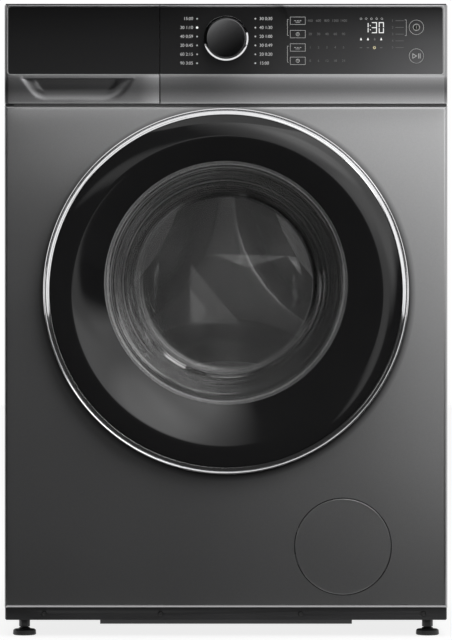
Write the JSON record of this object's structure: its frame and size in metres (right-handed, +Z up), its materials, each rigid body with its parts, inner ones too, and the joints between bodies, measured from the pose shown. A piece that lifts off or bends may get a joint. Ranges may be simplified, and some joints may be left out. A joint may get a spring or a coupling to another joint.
{
  "type": "front load washing machine",
  "caption": "Upright box cabinet with a large round glass door in a gloss black ring, a top control panel with a rotary dial and display, a detergent drawer, and a spinning drum inside.",
  "frame": {"origin": "on the floor under the feet, in the middle of the width and of the overall depth", "axes": "+Z up, +X to the right as seen from the front, +Y towards the rear (the door faces -Y)"},
  "size_m": [0.595, 0.565, 0.85],
  "materials": {
    "silver_paint": "satin metallic",
    "worktop_board": "satin laminate",
    "frame_paint": "satin",
    "gloss_black": "gloss",
    "matt_black": "matt",
    "console_paint": "satin metallic",
    "chrome_trim": "polished",
    "bowl_glass": "clear",
    "stainless": "satin",
    "galvanised": "zinc",
    "spring_steel": "satin",
    "seal_rubber": "matt",
    "black_rubber": "matt",
    "tub_plastic": "matt",
    "white_plastic": "satin",
    "grey_plastic": "satin",
    "lifter_plastic": "satin",
    "concrete": "rough",
    "cast_aluminium": "cast",
    "motor_iron": "painted",
    "circuit_board": "satin"
  },
  "bodies": {
    "cabinet": {"left_side_panel": "silver_paint", "right_side_panel": "silver_paint", "front_panel": "silver_paint", "worktop": "worktop_board", "base_frame": "frame_paint", "rear_panel": "galvanised", "rear_access_cover": "galvanised", "inlet_valve": "white_plastic", "cable_gland": "matt_black", "console_fascia": "console_paint", "console_lens": "gloss_black", "control_board": "circuit_board", "dispenser_housing": "white_plastic", "door_lock": "matt_black", "door_gasket": "seal_rubber", "drain_pump": "grey_plastic", "drain_hose": "grey_plastic", "sump_hose": "black_rubber", "fill_hose": "black_rubber", "door_hinge_plate": "spring_steel", "spring_left": "spring_steel", "spring_right": "spring_steel", "damper_left": "matt_black", "damper_right": "matt_black"},
    "door": {"door_bezel": "gloss_black", "door_trim_ring": "chrome_trim", "door_glass": "bowl_glass", "door_inner_frame": "matt_black", "door_hinge_arm": "spring_steel"},
    "catch": {"door_catch": "spring_steel"},
    "drawer": {"drawer_front": "console_paint", "drawer_lens": "gloss_black", "drawer_tray": "grey_plastic"},
    "knob": {"program_knob": "gloss_black", "knob_ring": "chrome_trim"},
    "power_key": {"power_button": "gloss_black"},
    "start_key": {"start_button": "gloss_black"},
    "tub": {"tub_front": "tub_plastic", "tub_rear": "tub_plastic", "top_counterweight": "concrete", "front_counterweight": "concrete", "drum_bearing": "spring_steel", "drive_motor": "motor_iron", "drive_belt": "black_rubber", "damper_rod_left": "spring_steel", "damper_rod_right": "spring_steel"},
    "drum": {"drum_shell": "stainless", "drum_spider": "cast_aluminium", "drum_pulley": "cast_aluminium", "lifter_1": "lifter_plastic", "lifter_2": "lifter_plastic", "lifter_3": "lifter_plastic"},
    "rotor": {"motor_pulley": "spring_steel"},
    "flap": {"service_flap": "silver_paint"},
    "filter": {"pump_filter": "white_plastic"},
    "leg_front_left": {"foot_front_left": "black_rubber"},
    "leg_rear_left": {"foot_rear_left": "black_rubber"},
    "leg_front_right": {"foot_front_right": "black_rubber"},
    "leg_rear_right": {"foot_rear_right": "black_rubber"}
  },
  "joints": [
    {"name": "door_hinge", "type": "hinge", "parent": "cabinet", "child": "door", "pos_m": [-0.228, -0.268, 0.464], "axis": [0, 0, -1], "range_deg": [0, 140]},
    {"name": "door_catch_pivot", "type": "hinge", "parent": "door", "child": "catch", "pos_m": [0.205, -0.2635, 0.464], "axis": [0, 0, 1], "range_deg": [0, 8], "stiffness_Nm_per_rad": 0.6, "springref_deg": -5.73},
    {"name": "drawer_slide", "type": "slide", "parent": "cabinet", "child": "drawer", "axis": [0, -1, 0], "range_m": [0, 0.18]},
    {"name": "knob_turn", "type": "hinge", "parent": "cabinet", "child": "knob", "pos_m": [0, -0.2475, 0.8024], "axis": [0, 1, 0], "continuous": true},
    {"name": "power_button_press", "type": "slide", "parent": "cabinet", "child": "power_key", "axis": [0, 1, 0], "range_m": [0, 0.001], "stiffness_N_per_m": 900, "springref_m": -0.0006},
    {"name": "start_button_press", "type": "slide", "parent": "cabinet", "child": "start_key", "axis": [0, 1, 0], "range_m": [0, 0.001], "stiffness_N_per_m": 900, "springref_m": -0.0006},
    {"name": "tub_suspension", "type": "slide", "parent": "cabinet", "child": "tub", "axis": [0, 0, 1], "range_m": [-0.008, 0.008], "stiffness_N_per_m": 16000, "springref_m": 0.0213, "deforming": ["door_gasket", "fill_hose", "sump_hose", "spring_left", "spring_right"]},
    {"name": "drum_spin", "type": "hinge", "parent": "tub", "child": "drum", "pos_m": [0, 0, 0.4753], "axis": [0, 1, 0], "continuous": true},
    {"name": "motor_spin", "type": "hinge", "parent": "tub", "child": "rotor", "pos_m": [0.11, 0.18, 0.17], "axis": [0, 1, 0], "continuous": true},
    {"name": "service_flap_hinge", "type": "hinge", "parent": "cabinet", "child": "flap", "pos_m": [0.0975, -0.2471, 0.1213], "axis": [0, 0, -1], "range_deg": [0, 90]},
    {"name": "pump_filter_turn", "type": "hinge", "parent": "cabinet", "child": "filter", "pos_m": [0.157, -0.2275, 0.1133], "axis": [0, 1, 0], "range_deg": [0, 120]},
    {"name": "foot_front_left_turn", "type": "hinge", "parent": "cabinet", "child": "leg_front_left", "pos_m": [-0.2725, -0.2115, 0], "axis": [0, 0, 1], "continuous": true},
    {"name": "foot_rear_left_turn", "type": "hinge", "parent": "cabinet", "child": "leg_rear_left", "pos_m": [-0.2725, 0.2305, 0], "axis": [0, 0, 1], "continuous": true},
    {"name": "foot_front_right_turn", "type": "hinge", "parent": "cabinet", "child": "leg_front_right", "pos_m": [0.2725, -0.2115, 0], "axis": [0, 0, 1], "continuous": true},
    {"name": "foot_rear_right_turn", "type": "hinge", "parent": "cabinet", "child": "leg_rear_right", "pos_m": [0.2725, 0.2305, 0], "axis": [0, 0, 1], "continuous": true}
  ],
  "couplings": [
    {"joint": "motor_spin", "follows": "drum_spin", "ratio": 9.3333}
  ]
}
